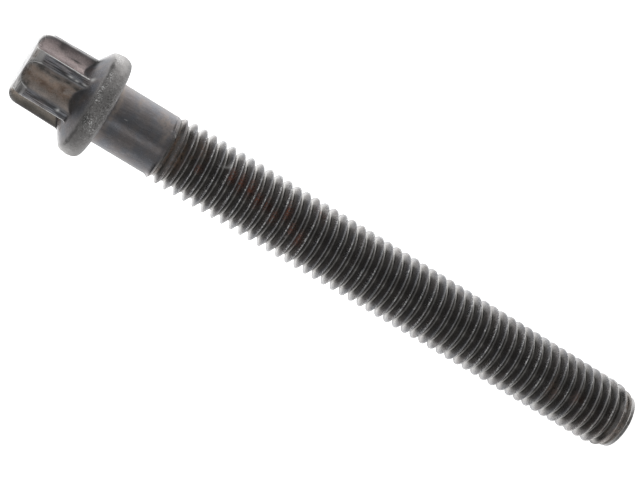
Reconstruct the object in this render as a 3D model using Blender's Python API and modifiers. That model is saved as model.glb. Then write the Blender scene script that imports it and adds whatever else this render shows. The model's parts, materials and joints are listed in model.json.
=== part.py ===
"""Flange bolt for a crankshaft pulley: long rolled thread, plain shank, round flange, six-lobe head.

It stands on its threaded end, with the middle of the end face at the origin and the head up (+Z).
"""

from math import atan2, cos, pi, radians, sin, tan

import bmesh
import bpy
from mathutils import Vector

MM = 0.001

# Overall lengths, from the flange's seat
UNDER_HEAD_LENGTH = 85.7 * MM  # seat to threaded end
HEAD_HEIGHT = 12.2 * MM  # seat to top of head
THREAD_LENGTH = 77.0 * MM  # threaded end to the last trace of thread

# Thread, single start and right-handed, with the standard 60 degree form
THREAD_DIAMETER = 9.82 * MM  # over the crests
THREAD_PITCH = 1.5 * MM
FLANK_ANGLE = radians(30)  # from a plane square to the bolt
THREAD_DEPTH_PER_PITCH = 0.6134
CREST_PER_PITCH = 0.16
CREST_HEIGHT_AT_X = 0.875 * MM  # lowest crest on the +X side, above the end face
CREST_RUN_OUT_TURNS = 1.8  # the crests sink to the shank over so many turns
ROOT_RUN_OUT_TURNS = 0.6  # and the root rises to it over these,
ROOT_END_TURNS = 0.35  # ending so far below the last trace of thread

# Threaded end: a chamfer, then threads that aren't rolled to their full height
POINT_DIAMETER = 7.4 * MM  # end face
CHAMFER_DIAMETER = 8.84 * MM
CHAMFER_HEIGHT = 1.0 * MM
POINT_LENGTH = 3.0 * MM  # end face to full thread

# Shank
SHANK_DIAMETER = 8.84 * MM
SEAT_FILLET = 0.4 * MM

# Flange, heights above its seat
SEAT_DIAMETER = 13.2 * MM
FLANGE_DIAMETER = 15.0 * MM
FLANGE_WIDEST_HEIGHT = 1.45 * MM
FLANGE_CORNER_HEIGHT = 2.74 * MM  # where rim and cone would meet if the edge were sharp
FLANGE_CORNER_DIAMETER = 14.64 * MM
FLANGE_CORNER_RADIUS = 0.9 * MM
FLANGE_CONE_ANGLE = radians(34.6)  # from the seat's plane

# Six-lobe head: the outline's own size, and the turned envelope that blunts its lobes
LOBE_COUNT = 6
LOBE_OUTLINE_DIAMETER = 11.17 * MM
VALLEY_DIAMETER = 7.95 * MM
LOBE_RADIUS = 0.89 * MM
LOBE_TURN = radians(-9.8)
HEAD_BASE_DIAMETER = 10.84 * MM  # at the height of the seat
HEAD_TOP_DIAMETER = 10.3 * MM  # where the dome starts
DOME_HEIGHT = 1.7 * MM
CROWN_DIAMETER = 7.1 * MM  # flat end face

# Facets
THREAD_STEPS = 18  # in one turn
TURNED_STEPS = 40
ARC_STEPS = 6
FILLET_STEPS = 4
VALLEY_STEPS = 8
SHARP_ANGLE = radians(28)  # edges that turn more than this aren't shaded smooth

INSIDE = 0.3 * MM  # how far joined shapes reach into or past each other
SPARE_TURNS = 3  # of thread made past each end and cut off
SAME_POINT = 0.002 * MM  # points this close are one


def clear_scene():
    for item in list(bpy.data.objects):
        bpy.data.objects.remove(item, do_unlink=True)


def new_collection(name, helper=False):
    collection = bpy.data.collections.new(name)
    collection.hide_render = helper
    bpy.context.scene.collection.children.link(collection)
    return collection


def add_object(name, mesh, collection):
    item = bpy.data.objects.new(name, mesh)
    collection.objects.link(item)
    return item


def hide_helper(item):
    item.hide_render = True
    item.display_type = "WIRE"


def evaluated_mesh(item):
    graph = bpy.context.evaluated_depsgraph_get()
    return bpy.data.meshes.new_from_object(item.evaluated_get(graph))


def line_mesh(name, points):
    """A chain of edges through (radius, height) points, on the +X side."""
    mesh = bpy.data.meshes.new(name)
    shape = bmesh.new()
    chain = [shape.verts.new((radius, 0, height)) for radius, height in points]
    for first, second in zip(chain, chain[1:]):
        shape.edges.new((first, second))
    shape.to_mesh(mesh)
    shape.free()
    return mesh


def turned(name, points, collection):
    """A body of revolution about Z. The profile runs from the top down its outer side."""
    item = add_object(name, line_mesh(name, points), collection)
    screw = item.modifiers.new("Turn", "SCREW")
    screw.axis = "Z"
    screw.angle = 2 * pi
    screw.steps = TURNED_STEPS
    screw.render_steps = TURNED_STEPS
    screw.use_merge_vertices = True
    screw.merge_threshold = SAME_POINT
    screw.use_smooth_shade = True
    return item


def arc(centre, radii, start, end, steps=ARC_STEPS):
    """Points on an ellipse arc from one angle to another, both ends included."""
    angles = (start + (end - start) * step / steps for step in range(steps + 1))
    return [(centre[0] + radii[0] * cos(angle), centre[1] + radii[1] * sin(angle)) for angle in angles]


def rounded_corner(before, corner, after, radius):
    """The arc that rounds a corner of a profile whose sides run through before and after."""
    corner = Vector(corner)
    to_before = (Vector(before) - corner).normalized()
    to_after = (Vector(after) - corner).normalized()
    half_angle = to_before.angle(to_after) / 2
    centre = corner + (to_before + to_after).normalized() * (radius / sin(half_angle))
    first = corner + to_before * (radius / tan(half_angle)) - centre
    last = corner + to_after * (radius / tan(half_angle)) - centre
    start = atan2(first.y, first.x)
    turn = atan2(last.y, last.x) - start
    turn = (turn + pi) % (2 * pi) - pi
    return arc(centre, (radius, radius), start, start + turn)


def thread_core_radius():
    return THREAD_DIAMETER / 2 - THREAD_DEPTH_PER_PITCH * THREAD_PITCH


def flange_profile():
    """From inside the head, down the cone and round the rim to the edge of the seat."""
    seat = UNDER_HEAD_LENGTH
    corner = (FLANGE_CORNER_DIAMETER / 2, seat + FLANGE_CORNER_HEIGHT)
    widest = (FLANGE_DIAMETER / 2, seat + FLANGE_WIDEST_HEIGHT)
    inner_radius = VALLEY_DIAMETER / 2 - INSIDE
    cone_top = (inner_radius, corner[1] + (corner[0] - inner_radius) * tan(FLANGE_CONE_ANGLE))
    seat_radius = SEAT_DIAMETER / 2
    edge_size = (widest[0] - seat_radius, FLANGE_WIDEST_HEIGHT)
    edge = arc((seat_radius, widest[1]), edge_size, 0, -pi / 2)
    top_edge = rounded_corner(cone_top, corner, widest, FLANGE_CORNER_RADIUS)
    return [(0, cone_top[1]), cone_top, *top_edge, *edge]


def shank_profile():
    """From the seat down the fillet and the plain shank, and inside the thread as its core."""
    shank_radius = SHANK_DIAMETER / 2
    fillet_centre = (shank_radius + SEAT_FILLET, UNDER_HEAD_LENGTH - SEAT_FILLET)
    fillet = arc(fillet_centre, (SEAT_FILLET, SEAT_FILLET), pi / 2, pi, FILLET_STEPS)
    root_radius = min(thread_core_radius(), shank_radius) - INSIDE / 2
    root_end = THREAD_LENGTH - ROOT_END_TURNS * THREAD_PITCH
    return [
        *fillet,
        (shank_radius, root_end),
        (root_radius, root_end - ROOT_RUN_OUT_TURNS * THREAD_PITCH),
        (root_radius - INSIDE, POINT_LENGTH),
        (0, POINT_LENGTH),
    ]


def make_blank(collection):
    """Flange, shank and core: everything that a lathe would turn."""
    return turned("flange_bolt", flange_profile() + shank_profile(), collection)


def lobe_outline():
    """Six convex lobes joined by concave valleys, every arc tangent to its neighbours."""
    lobe_centre = LOBE_OUTLINE_DIAMETER / 2 - LOBE_RADIUS
    half_step = pi / LOBE_COUNT
    valley = VALLEY_DIAMETER / 2
    across = 2 * lobe_centre * cos(half_step)
    valley_radius = (
        (valley**2 + lobe_centre**2 - across * valley - LOBE_RADIUS**2)
        / (across + 2 * LOBE_RADIUS - 2 * valley)
    )
    valley_centre = valley + valley_radius
    # Half of each arc's sweep, from the line between the two centres
    side = Vector((valley_centre * cos(half_step) - lobe_centre, valley_centre * sin(half_step)))
    lobe_sweep = atan2(side.y, side.x)
    valley_sweep = lobe_sweep - half_step
    points = []
    for number in range(LOBE_COUNT):
        angle = LOBE_TURN + number * 2 * half_step
        centre = (lobe_centre * cos(angle), lobe_centre * sin(angle))
        radii = (LOBE_RADIUS, LOBE_RADIUS)
        points += arc(centre, radii, angle - lobe_sweep, angle + lobe_sweep)
        angle += half_step
        centre = (valley_centre * cos(angle), valley_centre * sin(angle))
        radii = (valley_radius, valley_radius)
        start = angle + pi + valley_sweep
        points += arc(centre, radii, start, angle + pi - valley_sweep, VALLEY_STEPS)[1:-1]
    return points


def make_lobes(collection):
    """The outline as a straight prism, from inside the flange past the top of the head."""
    bottom = UNDER_HEAD_LENGTH + FLANGE_WIDEST_HEIGHT
    top = UNDER_HEAD_LENGTH + HEAD_HEIGHT + INSIDE
    curve = bpy.data.curves.new("lobe_outline", "CURVE")
    curve.dimensions = "2D"
    curve.fill_mode = "BOTH"
    curve.extrude = (top - bottom) / 2
    points = lobe_outline()
    spline = curve.splines.new("POLY")
    spline.points.add(len(points) - 1)
    for place, (x, y) in zip(spline.points, points):
        place.co = (x, y, 0, 1)
    spline.use_cyclic_u = True
    outline = add_object("lobe_outline", curve, collection)
    outline.location.z = (top + bottom) / 2
    bpy.context.view_layer.update()
    mesh = evaluated_mesh(outline)
    shape = bmesh.new()
    shape.from_mesh(mesh)
    bmesh.ops.remove_doubles(shape, verts=shape.verts, dist=SAME_POINT)
    shape.to_mesh(mesh)
    shape.free()
    lobes = add_object("lobes", mesh, collection)
    lobes.matrix_world = outline.matrix_world.copy()
    bpy.data.objects.remove(outline, do_unlink=True)
    return lobes


def head_envelope_profile():
    """Domed end, then a slight draft down to inside the flange."""
    top = UNDER_HEAD_LENGTH + HEAD_HEIGHT
    crown = CROWN_DIAMETER / 2
    dome_size = (HEAD_TOP_DIAMETER / 2 - crown, DOME_HEIGHT)
    dome = arc((crown, top - DOME_HEIGHT), dome_size, pi / 2, 0)
    return [
        (0, top),
        *dome,
        (HEAD_BASE_DIAMETER / 2, UNDER_HEAD_LENGTH),
        (0, UNDER_HEAD_LENGTH),
    ]


def thread_profile(crest_height):
    """One pitch of the thread, upwards: flank, crest, flank and root."""
    root_radius = thread_core_radius()
    crest_radius = THREAD_DIAMETER / 2
    half_crest = CREST_PER_PITCH * THREAD_PITCH / 2
    reach = half_crest + (crest_radius - root_radius) * tan(FLANK_ANGLE)
    return [
        (root_radius, crest_height - reach),
        (crest_radius, crest_height - half_crest),
        (crest_radius, crest_height + half_crest),
        (root_radius, crest_height + reach),
        (root_radius, crest_height - reach + THREAD_PITCH),
    ]


def close_end(shape, edges, height):
    """Closes one end of the thread with a fan of triangles to a point on the axis."""
    apex = shape.verts.new((0, 0, height))
    for edge in edges:
        shape.faces.new((*edge.verts, apex))


def make_thread(collection):
    """The thread as a closed helical body, longer than needed at both ends."""
    lowest_crest = CREST_HEIGHT_AT_X - SPARE_TURNS * THREAD_PITCH
    turns = int((THREAD_LENGTH - lowest_crest) / THREAD_PITCH) + SPARE_TURNS
    line = add_object("thread_line", line_mesh("thread_line", thread_profile(lowest_crest)), collection)
    screw = line.modifiers.new("Thread", "SCREW")
    screw.axis = "Z"
    screw.angle = 2 * pi
    screw.screw_offset = THREAD_PITCH
    screw.iterations = turns
    screw.steps = THREAD_STEPS
    screw.render_steps = THREAD_STEPS
    screw.use_merge_vertices = False
    screw.use_smooth_shade = True
    bpy.context.view_layer.update()
    mesh = evaluated_mesh(line)
    bpy.data.objects.remove(line, do_unlink=True)
    shape = bmesh.new()
    shape.from_mesh(mesh)
    bmesh.ops.remove_doubles(shape, verts=shape.verts, dist=SAME_POINT)
    open_edges = [edge for edge in shape.edges if edge.is_boundary]
    middle = lowest_crest + turns * THREAD_PITCH / 2
    lower = [edge for edge in open_edges if edge.verts[0].co.z < middle]
    upper = [edge for edge in open_edges if edge.verts[0].co.z > middle]
    close_end(shape, lower, lowest_crest)
    close_end(shape, upper, lowest_crest + turns * THREAD_PITCH)
    bmesh.ops.recalc_face_normals(shape, faces=shape.faces)
    shape.to_mesh(mesh)
    shape.free()
    return add_object("thread", mesh, collection)


def thread_envelope_profile():
    """What the crests may not pass: a cone at the run-out, clear space, and the threaded end."""
    clear_radius = THREAD_DIAMETER / 2 + INSIDE
    hidden_radius = SHANK_DIAMETER / 2 - INSIDE
    chamfer_radius = CHAMFER_DIAMETER / 2
    point_slope = (POINT_LENGTH - CHAMFER_HEIGHT) / (THREAD_DIAMETER / 2 - chamfer_radius)
    run_out = CREST_RUN_OUT_TURNS * THREAD_PITCH
    run_out_slope = run_out / (THREAD_DIAMETER / 2 - SHANK_DIAMETER / 2)
    top = THREAD_LENGTH + INSIDE * run_out_slope
    return [
        (0, top),
        (hidden_radius, top),
        (clear_radius, THREAD_LENGTH - run_out - INSIDE * run_out_slope),
        (clear_radius, POINT_LENGTH + INSIDE * point_slope),
        (chamfer_radius, CHAMFER_HEIGHT),
        (POINT_DIAMETER / 2, 0),
        (0, 0),
    ]


def combine(item, operation, other):
    """Joins or intersects two bodies, and hides the second as a helper."""
    boolean = item.modifiers.new(other.name, "BOOLEAN")
    boolean.operation = operation
    boolean.object = other
    boolean.solver = "EXACT"
    hide_helper(other)


def dark_steel():
    """Phosphated and oiled steel, nearly black."""
    material = bpy.data.materials.new("dark_steel")
    material.use_nodes = True
    shader = material.node_tree.nodes["Principled BSDF"]
    shader.inputs["Base Color"].default_value = (0.09, 0.085, 0.09, 1)
    shader.inputs["Metallic"].default_value = 0.85
    shader.inputs["Roughness"].default_value = 0.42
    return material


def shade(item):
    """Turns the modelled shape into its final mesh, smooth except at real edges."""
    mesh = evaluated_mesh(item)
    item.modifiers.clear()
    item.data = mesh
    mesh.shade_smooth()
    mesh.set_sharp_from_angle(angle=SHARP_ANGLE)
    mesh.materials.clear()
    mesh.materials.append(dark_steel())


def main():
    clear_scene()
    parts = new_collection("crankshaft_pulley_bolt")
    cutters = new_collection("cutters", helper=True)
    bolt = make_blank(parts)
    lobes = make_lobes(cutters)
    envelope = turned("head_envelope", head_envelope_profile(), cutters)
    envelope.rotation_euler.z = LOBE_TURN
    combine(lobes, "INTERSECT", envelope)
    combine(bolt, "UNION", lobes)
    thread = make_thread(cutters)
    combine(thread, "INTERSECT", turned("thread_envelope", thread_envelope_profile(), cutters))
    combine(bolt, "UNION", thread)
    bpy.context.view_layer.update()
    shade(bolt)


main()
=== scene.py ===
import json
from math import atan2, cos, pi, radians, sin, tan

import bmesh
import bpy
import numpy as np
from mathutils import Matrix, Vector, noise


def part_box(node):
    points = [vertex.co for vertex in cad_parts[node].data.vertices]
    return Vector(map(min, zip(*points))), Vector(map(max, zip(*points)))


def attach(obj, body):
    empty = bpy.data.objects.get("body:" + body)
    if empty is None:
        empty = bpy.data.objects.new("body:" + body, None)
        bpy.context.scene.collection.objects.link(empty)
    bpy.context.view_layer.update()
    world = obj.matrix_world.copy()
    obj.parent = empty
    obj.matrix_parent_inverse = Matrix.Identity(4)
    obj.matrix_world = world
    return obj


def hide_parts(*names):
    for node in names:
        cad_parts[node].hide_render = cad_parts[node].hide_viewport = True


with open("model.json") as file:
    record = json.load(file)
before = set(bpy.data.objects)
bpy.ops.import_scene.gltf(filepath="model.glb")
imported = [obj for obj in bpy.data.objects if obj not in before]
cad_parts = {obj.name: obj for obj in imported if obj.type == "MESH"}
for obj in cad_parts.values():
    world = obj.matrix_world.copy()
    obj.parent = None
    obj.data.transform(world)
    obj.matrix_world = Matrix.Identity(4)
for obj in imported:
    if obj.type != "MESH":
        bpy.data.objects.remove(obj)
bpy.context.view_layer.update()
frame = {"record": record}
mm = 0.001
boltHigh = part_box("flange_bolt")[1]
topHeight = boltHigh.z
seatHeight = next(m["pos_m"][2] for m in frame["record"]["mounts"] if m["name"] == "flange_seat")
print(f"frame loaded: bolt {topHeight / mm:.1f} mm long, seat at {seatHeight / mm:.1f} mm")


# The head: six lobes with concave valleys, blunted by a slightly conical surface with a domed end
headShape = {
    "lobes": 6,
    "outline": 11.17 * mm,  # across the lobes before they are blunted
    "valley": 7.95 * mm,  # across the valley floors
    "lobeRound": 0.89 * mm,
    "turn": radians(-9.8),
    "baseWidth": 10.84 * mm,  # across the blunt lobes at the height of the seat
    "topWidth": 10.3 * mm,  # and where the dome starts
    "domeHeight": 1.7 * mm,
    "crownWidth": 7.1 * mm,  # end face
    "crownBulge": 0.05 * mm,  # how far its edge lies below its middle
    "lobeEdge": 0.08 * mm,  # softness of the lobes' long edges
    "mouthEdge": 0.17 * mm,  # softness of the edge where a valley opens in the dome
    "foot": 0.34 * mm,  # fillet between head and flange
    "columns": 330,
    "crownRows": 7,
    "domeRows": 10,
    "mouthRows": 4,
    "wallRows": 24,
    "footRows": 4,
}

flangeShape = {
    "coneAngle": radians(34.6),
    "cornerHeight": 2.74 * mm,  # above the seat, where cone and rim would meet if the edge were sharp
    "cornerWidth": 14.64 * mm,
    "cornerRadius": 0.9 * mm,
    "widestHeight": 1.45 * mm,
    "seatWidth": 13.2 * mm,
    "seatFillet": 0.4 * mm,
    "coneRows": 9,
    "cornerSteps": 8,
    "rimSteps": 9,
    "filletSteps": 5,
}
flangeRadius = boltHigh.x

threadShape = {
    "outside": 9.82 * mm,
    "pitch": 1.5 * mm,
    "depth": 0.92 * mm,
    "flank": radians(30),
    "crestFlat": 0.1 * mm,
    "crestRound": 0.05 * mm,
    "flankRow": 0.17,  # extra row of the grid, at this share of the flank below the crest
    "limitEdge": 0.05 * mm,  # softness where the chamfer or the run-out cuts the thread
    "crestAtX": 0.845 * mm,  # lowest crest on the +X side
    "shankWidth": 8.84 * mm,
    "shankRows": 22,
    "columns": 92,
    "spareTurns": (3, 2),  # turns of the grid below the end face and above the join, cut off again
}
runOutShape = {  # heights above the end face
    "lastGroove": 75.0 * mm,  # groove of full depth on the +X side, from where the last turn climbs
    "rootRise": (75.9 * mm, 76.75 * mm),  # the groove's floor comes up to the shank here
    "crestFall": (74.0 * mm, 75.6 * mm),  # the crests come down to the last ridge
    "ridge": 0.24 * mm,  # last ridge above the shank
    "ridgeFall": (76.5 * mm, 77.3 * mm),
    "ridgeTop": 0.45,  # turns above the last groove
    "ridgeFoot": 1.0,
}
pointShape = {
    "endWidth": 7.4 * mm,
    "chamferWidth": 8.84 * mm,
    "chamferHeight": 1.0 * mm,
    "fullHeight": 3.0 * mm,  # the thread is rolled to its full height from here
    "edge": 0.04 * mm,
    "rings": ((3.2, 0), (2.1, 0), (1.9, 0.06), (0.7, 0.08)),  # of the end face, as (radius, height) in mm
    "columns": 72,
}
joinHeight = runOutShape["ridgeFall"][1] + 0.1 * mm  # where the thread's grid ends
joinGap = 0.3 * mm  # and from there to the shank's lowest ring


def smoothMin(first, second, width):
    blend = np.clip(0.5 + 0.5 * (second - first) / width, 0, 1)
    return second * (1 - blend) + first * blend - width * blend * (1 - blend)


def bump(value, middle, width):
    return np.exp(-(((value - middle) / width) ** 2))


def rise(value, start, width):
    # From 0 at the start to 1 one width further on
    return np.clip((value - start) / width, 0, 1)


def wrapped(angle):
    return (angle + pi) % (2 * pi) - pi


def lobeRadius(angle):
    step = 2 * pi / headShape["lobes"]
    lobeRound = headShape["lobeRound"]
    lobeCentre = headShape["outline"] / 2 - lobeRound
    valley = headShape["valley"] / 2
    across = 2 * lobeCentre * cos(step / 2)
    valleyRound = valley**2 + lobeCentre**2 - across * valley - lobeRound**2
    valleyRound /= across + 2 * lobeRound - 2 * valley
    valleyCentre = valley + valleyRound
    # The two arcs meet on the line between their centres
    toValley = Vector((valleyCentre * cos(step / 2) - lobeCentre, valleyCentre * sin(step / 2)))
    meeting = toValley.normalized() * lobeRound + Vector((lobeCentre, 0))
    fromLobe = np.abs((angle - headShape["turn"] + step / 2) % step - step / 2)
    fromValley = step / 2 - fromLobe
    lobeReach = np.maximum(lobeRound**2 - (lobeCentre * np.sin(fromLobe)) ** 2, 0)
    valleyReach = np.maximum(valleyRound**2 - (valleyCentre * np.sin(fromValley)) ** 2, 0)
    lobe = lobeCentre * np.cos(fromLobe) + np.sqrt(lobeReach)
    dip = valleyCentre * np.cos(fromValley) - np.sqrt(valleyReach)
    return np.where(fromLobe < atan2(meeting.y, meeting.x), lobe, dip)


def domePoint(turn):
    # Radius and height of the domed end, from its foot at 0 to the edge of the end face at a quarter turn
    crown = headShape["crownWidth"] / 2
    radius = crown + (headShape["topWidth"] / 2 - crown) * np.cos(turn)
    drop = headShape["domeHeight"] * (1 - np.sin(turn)) + headShape["crownBulge"] * np.sin(turn) ** 2
    return radius, topHeight - drop


def headLimit(height):
    # The turned surface that the lobes end at
    domeBase = topHeight - headShape["domeHeight"]
    draft = np.interp(height, [seatHeight, domeBase], [headShape["baseWidth"] / 2, headShape["topWidth"] / 2])
    domeRadii, domeHeights = domePoint(np.linspace(0, pi / 2, 90))
    inward = np.linspace(1, 0, 30)
    radii = np.concatenate([domeRadii, domeRadii[-1] * inward[1:]])
    heights = np.concatenate([domeHeights, topHeight - headShape["crownBulge"] * inward[1:] ** 2])
    return np.where(height > domeBase, np.interp(height, heights, radii), draft)


def wallRadius(angle, height):
    return smoothMin(lobeRadius(angle), headLimit(height), headShape["lobeEdge"])


def coneHeight(radius):
    climb = (flangeShape["cornerWidth"] / 2 - radius) * tan(flangeShape["coneAngle"])
    return seatHeight + flangeShape["cornerHeight"] + climb


def arcPoints(centre, radii, start, end, count):
    angles = [start + (end - start) * step / (count - 1) for step in range(count)]
    return [(centre[0] + radii[0] * cos(a), centre[1] + radii[1] * sin(a)) for a in angles]


def roundedCorner(before, corner, after, radius, count):
    corner = Vector(corner)
    toBefore = (Vector(before) - corner).normalized()
    toAfter = (Vector(after) - corner).normalized()
    halfAngle = toBefore.angle(toAfter) / 2
    centre = corner + (toBefore + toAfter).normalized() * (radius / sin(halfAngle))
    first = corner + toBefore * (radius / tan(halfAngle)) - centre
    last = corner + toAfter * (radius / tan(halfAngle)) - centre
    start = atan2(first.y, first.x)
    return arcPoints(centre, (radius, radius), start, start + wrapped(atan2(last.y, last.x) - start), count)


def softCorner(before, corner, after, count):
    rows = []
    for step in range(1, count + 1):
        share = step / (count + 1)
        row = before * (1 - share) ** 2 + corner * 2 * share * (1 - share) + after * share**2
        rows.append(row)
    return rows


def straight(first, last, count):
    return [first + (last - first) * step / count for step in range(1, count + 1)]


def evenColumns(count):
    # Columns at equal steps along the lobes' outline, so that their steep sides get as many as they need
    angles = np.linspace(0, 2 * pi, 7201)
    radius = wallRadius(angles, topHeight - headShape["domeHeight"])
    steps = np.hypot(np.diff(radius), radius[:-1] * np.diff(angles))
    along = np.concatenate([[0], np.cumsum(steps)])
    return np.interp(np.linspace(0, along[-1], count + 1)[:-1], along, angles)


def flangeAndShankLine():
    # From the top of the rim down to where the thread's grid begins, as (radius, height)
    corner = (flangeShape["cornerWidth"] / 2, seatHeight + flangeShape["cornerHeight"])
    widest = (flangeRadius, seatHeight + flangeShape["widestHeight"])
    inner = headShape["valley"] / 2
    seat = flangeShape["seatWidth"] / 2
    shank = threadShape["shankWidth"] / 2
    fillet = flangeShape["seatFillet"]
    above = (inner, coneHeight(inner))
    line = roundedCorner(above, corner, widest, flangeShape["cornerRadius"], flangeShape["cornerSteps"])
    first = Vector(line[-1])
    line += [tuple(first.lerp(Vector(widest), share)) for share in (0.35, 0.7)]
    rimReach = (flangeRadius - seat, widest[1] - seatHeight)
    line += arcPoints((seat, widest[1]), rimReach, 0, -pi / 2, flangeShape["rimSteps"])
    line += [(seat + (shank + fillet - seat) * share, seatHeight) for share in (0.3, 0.65)]
    centre = (shank + fillet, seatHeight - fillet)
    line += arcPoints(centre, (fillet, fillet), pi / 2, pi, flangeShape["filletSteps"])
    rows = threadShape["shankRows"]
    top, bottom = seatHeight - fillet, joinHeight + joinGap
    line += [(shank, top + (bottom - top) * step / rows) for step in range(1, rows + 1)]
    return line


def headAndShankRows(angles):
    # Each row is an array of radii and one of heights, from the middle of the end face down to the shank
    crown = headShape["crownWidth"] / 2
    domeReach = headShape["topWidth"] / 2 - crown
    domeHeight = headShape["domeHeight"]

    def ring(radius, height):
        return np.array([radius + 0 * angles, height + 0 * angles])

    crownRows, domeRows, wallRows = headShape["crownRows"], headShape["domeRows"], headShape["wallRows"]
    inward = [(step + 0.4) / (crownRows - 0.6) for step in range(crownRows)]
    rows = [ring(crown * share, topHeight - headShape["crownBulge"] * share**2) for share in inward]
    mouth = headShape["mouthEdge"]
    wallTop = smoothMin(lobeRadius(angles), headShape["topWidth"] / 2, headShape["lobeEdge"])
    turn = np.arccos(np.clip((wallTop - crown) / domeReach, 0, 1))
    start = turn + mouth / np.hypot(domeReach * np.sin(turn), domeHeight * np.cos(turn))
    for step in range(1, domeRows + 1):
        rows.append(np.array(domePoint(pi / 2 + (start - pi / 2) * step / domeRows)))
    corner = ring(wallTop, domePoint(turn)[1])
    below = ring(wallRadius(angles, corner[1] - mouth), corner[1] - mouth)
    rows += softCorner(rows[-1], corner, below, headShape["mouthRows"])
    base = coneHeight(wallTop)
    for _ in range(4):  # closer each time to where the lobes' wall meets the cone
        base = coneHeight(wallRadius(angles, base))
    foot = headShape["foot"]
    footTop = base + foot
    for step in range(wallRows + 1):
        height = below[1] + (footTop - below[1]) * step / wallRows
        rows.append(ring(wallRadius(angles, height), height))
    corner = ring(wallRadius(angles, base), base)
    slope = flangeShape["coneAngle"]
    outer = ring(corner[0] + foot * cos(slope), base - foot * sin(slope))
    rows += softCorner(rows[-1], corner, outer, headShape["footRows"]) + [outer]
    line = [ring(*point) for point in flangeAndShankLine()]
    rows += straight(outer, line[0], flangeShape["coneRows"]) + line[1:]
    return rows


def threadProfile():
    # (offset from the crest's middle, radius), upwards over one pitch
    outside = threadShape["outside"] / 2
    root = outside - threadShape["depth"]
    half = threadShape["crestFlat"] / 2
    flankRun = tan(threadShape["flank"])
    reach = half + threadShape["depth"] * flankRun
    pitch = threadShape["pitch"]
    nib = threadShape["crestRound"] * flankRun
    rootHalf = pitch / 2 - reach
    crest = roundedCorner((half - nib, outside), (half, outside), (reach, root), threadShape["crestRound"], 3)
    share = threadShape["flankRow"]
    flank = [(half + share * (reach - half), outside + share * (root - outside))]
    bottom = roundedCorner((half, outside), (reach, root), (pitch, root), rootHalf / flankRun, 3)
    upper = crest + flank + bottom
    return [(-offset, radius) for offset, radius in reversed(upper[:-1])] + upper


def threadRadius(radius, angle, height):
    # The full thread, limited by the chamfered end and by its run-out at the shank
    outside = threadShape["outside"] / 2
    shank = threadShape["shankWidth"] / 2
    root = outside - threadShape["depth"]
    endRadius = pointShape["endWidth"] / 2
    tipHeights = [0, pointShape["edge"], pointShape["chamferHeight"], pointShape["fullHeight"]]
    tipRadii = [endRadius - pointShape["edge"], endRadius, pointShape["chamferWidth"] / 2, outside]
    tip = np.interp(height, tipHeights, tipRadii)
    ridge = shank + runOutShape["ridge"]
    falls = [*runOutShape["crestFall"], *runOutShape["ridgeFall"]]
    limit = np.interp(height, falls, [outside, ridge, ridge, shank])
    core = np.interp(height, runOutShape["rootRise"], [root, shank])
    groove = np.maximum(radius, core)
    radius = smoothMin(radius, np.minimum(tip, limit), threadShape["limitEdge"])
    radius = np.maximum(radius, np.minimum(core, limit))
    # Above the last groove of full depth is one ridge, which slopes away beside a shallow groove
    turns = (height - runOutShape["lastGroove"]) / threadShape["pitch"] - angle / (2 * pi)
    top, foot = runOutShape["ridgeTop"], runOutShape["ridgeFoot"]
    slope = 1 - rise(turns, top, foot - top)
    lastRidge = np.minimum(shank + (limit - shank) * slope, groove)
    return np.where(turns > top, lastRidge, radius)


def makeThread(shape):
    # One long strip of rows that climbs with the thread, so that its crests and roots are edges of the grid
    profile = threadProfile()
    pitch = threadShape["pitch"]
    columns = threadShape["columns"]
    perTurn = len(profile)
    spareBelow, spareAbove = threadShape["spareTurns"]
    firstCrest = threadShape["crestAtX"] - spareBelow * pitch
    turns = int((joinHeight - firstCrest) / pitch) + spareAbove
    rows = perTurn * turns
    offsets = np.array([offset for offset, radius in profile])
    radii = np.array([radius for offset, radius in profile])
    turn, place = np.divmod(np.arange(rows), perTurn)
    share = np.arange(columns) / columns
    height = (firstCrest + turn * pitch + offsets[place])[:, None] + share[None, :] * pitch
    angle = 2 * pi * share[None, :] + 0 * height
    radius = threadRadius(radii[place][:, None] + 0 * height, angle, height)
    verts = addPoints(shape, radius, angle, height)
    for row in range(rows - 1):
        for column in range(columns):
            left = row * columns + column
            right = left + 1 if column < columns - 1 else (row + perTurn) * columns
            if right + columns < len(verts):
                shape.faces.new((verts[left], verts[right], verts[right + columns], verts[left + columns]))
    for cut, side in ((0, -1), (joinHeight, 1)):
        parts = shape.verts[:] + shape.edges[:] + shape.faces[:]
        bmesh.ops.bisect_plane(shape, geom=parts, dist=0.000001, plane_co=(0, 0, cut),
                               plane_no=(0, 0, side), clear_outer=True)
    print(f"thread: {(runOutShape['lastGroove'] / pitch):.0f} turns, {len(shape.faces)} faces")


def addPoints(shape, radius, angle, height):
    points = np.stack([radius * np.cos(angle), radius * np.sin(angle), height], axis=-1).reshape(-1, 3)
    return [shape.verts.new(point) for point in points.tolist()]


def angleOf(vertex):
    return atan2(vertex.co.y, vertex.co.x) % (2 * pi)


def openRing(shape, height):
    ends = {vertex for edge in shape.edges if edge.is_boundary for vertex in edge.verts}
    return [vertex for vertex in ends if abs(vertex.co.z - height) < 0.01 * mm]


def stitch(shape, lower, upper):
    # Triangles between two rings of points that each run once round the axis
    lower, upper = sorted(lower, key=angleOf), sorted(upper, key=angleOf)
    low, high = 0, 0

    def reach(ring, index):
        return angleOf(ring[index % len(ring)]) + 2 * pi * (index // len(ring))

    while low < len(lower) or high < len(upper):
        corner, other = lower[low % len(lower)], upper[high % len(upper)]
        lowIsNext = high == len(upper) or reach(lower, low + 1) <= reach(upper, high + 1)
        if low < len(lower) and lowIsNext:
            low += 1
            shape.faces.new((corner, lower[low % len(lower)], other))
        else:
            high += 1
            shape.faces.new((corner, upper[high % len(upper)], other))


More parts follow.
